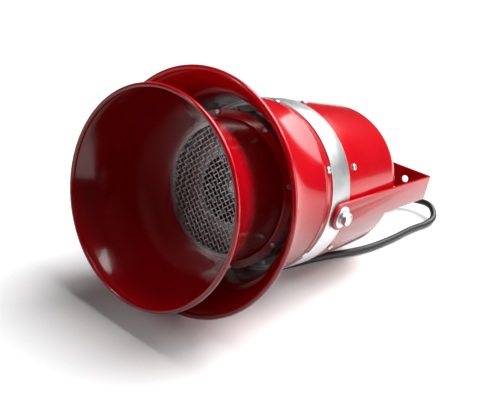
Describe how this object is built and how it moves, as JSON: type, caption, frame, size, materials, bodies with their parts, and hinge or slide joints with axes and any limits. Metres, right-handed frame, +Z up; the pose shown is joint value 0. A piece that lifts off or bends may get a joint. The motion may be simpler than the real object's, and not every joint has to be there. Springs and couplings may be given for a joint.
{
  "type": "motor siren",
  "caption": "Motor-driven alarm siren with two concentric flared horns, a plated centre ring, a deep-drawn motor cover, a U-shaped tilting bracket and a supply cord.",
  "frame": {"origin": "on the bench, under the middle of the siren without its cord", "axes": "+Z up; the horns face -Y, tipped up by about seven degrees as the siren lies on its outer horn and cover; +X along the bracket pivot axis"},
  "size_m": [0.285, 0.5683, 0.2432],
  "materials": {
    "red_paint": "gloss red enamel on sheet steel",
    "zinc_plate": "bright zinc plating",
    "dark_steel": "plain steel frame",
    "mesh_wire": "drawn wire",
    "cast_aluminium": "machined casting",
    "fibre": "pressed fibre",
    "bearing_steel": "ground steel",
    "lamination": "stacked electrical sheet",
    "black_plastic": "moulded nylon",
    "copper_winding": "varnished copper wire",
    "capacitor_case": "moulded case",
    "terminal_plastic": "moulded nylon",
    "brass": "plain brass",
    "core_insulation": "insulated cores",
    "gland_plastic": "moulded nylon",
    "cord_rubber": "rubber sheath, satin",
    "tie_plastic": "nylon strap"
  },
  "bodies": {
    "siren_body": {"bulkhead": "cast_aluminium", "bulkhead_screws": "zinc_plate", "capacitor_clip": "zinc_plate", "centre_ring": "zinc_plate", "cord": "cord_rubber", "cord_coil": "cord_rubber", "cord_in_gland": "cord_rubber", "cord_tie": "tie_plastic", "cover_nuts": "zinc_plate", "cover_screws": "zinc_plate", "flange_screws": "zinc_plate", "friction_washers": "fibre", "front_bearing": "bearing_steel", "front_bell": "cast_aluminium", "gland_body": "gland_plastic", "gland_locknut": "gland_plastic", "gland_nut": "gland_plastic", "guard_mesh": "mesh_wire", "guard_ring": "dark_steel", "horn_screws": "zinc_plate", "inner_horn": "red_paint", "lead_ends": "core_insulation", "outer_horn": "red_paint", "pivot_bolts": "zinc_plate", "pivot_nuts": "zinc_plate", "port_ring": "cast_aluminium", "rear_bearing": "bearing_steel", "rear_bell": "cast_aluminium", "rear_cover": "red_paint", "run_capacitor": "capacitor_case", "spring_washers": "zinc_plate", "stator_core": "lamination", "stator_windings": "copper_winding", "strain_relief": "cord_rubber", "supply_cores": "core_insulation", "terminal_block": "terminal_plastic", "terminal_screws": "brass", "terminal_shelf": "zinc_plate", "through_bolts": "zinc_plate", "winding_leads": "core_insulation"},
    "rotor": {"siren_rotor": "cast_aluminium", "rotor_nut": "zinc_plate", "rotor_washer": "zinc_plate", "motor_shaft": "bearing_steel", "cage_rotor": "lamination", "cooling_fan": "black_plastic"},
    "bracket_frame": {"bracket": "red_paint", "flat_washers": "zinc_plate"}
  },
  "joints": [
    {"name": "rotor_spin", "type": "hinge", "parent": "siren_body", "child": "rotor", "pos_m": [0, 0.0389, 0.09946], "axis": [0, 0.9924, -0.1229], "continuous": true},
    {"name": "bracket_tilt", "type": "hinge", "parent": "siren_body", "child": "bracket_frame", "pos_m": [0, -0.01072, 0.1056], "axis": [1, 0, 0], "range_deg": [-5, 138]}
  ]
}
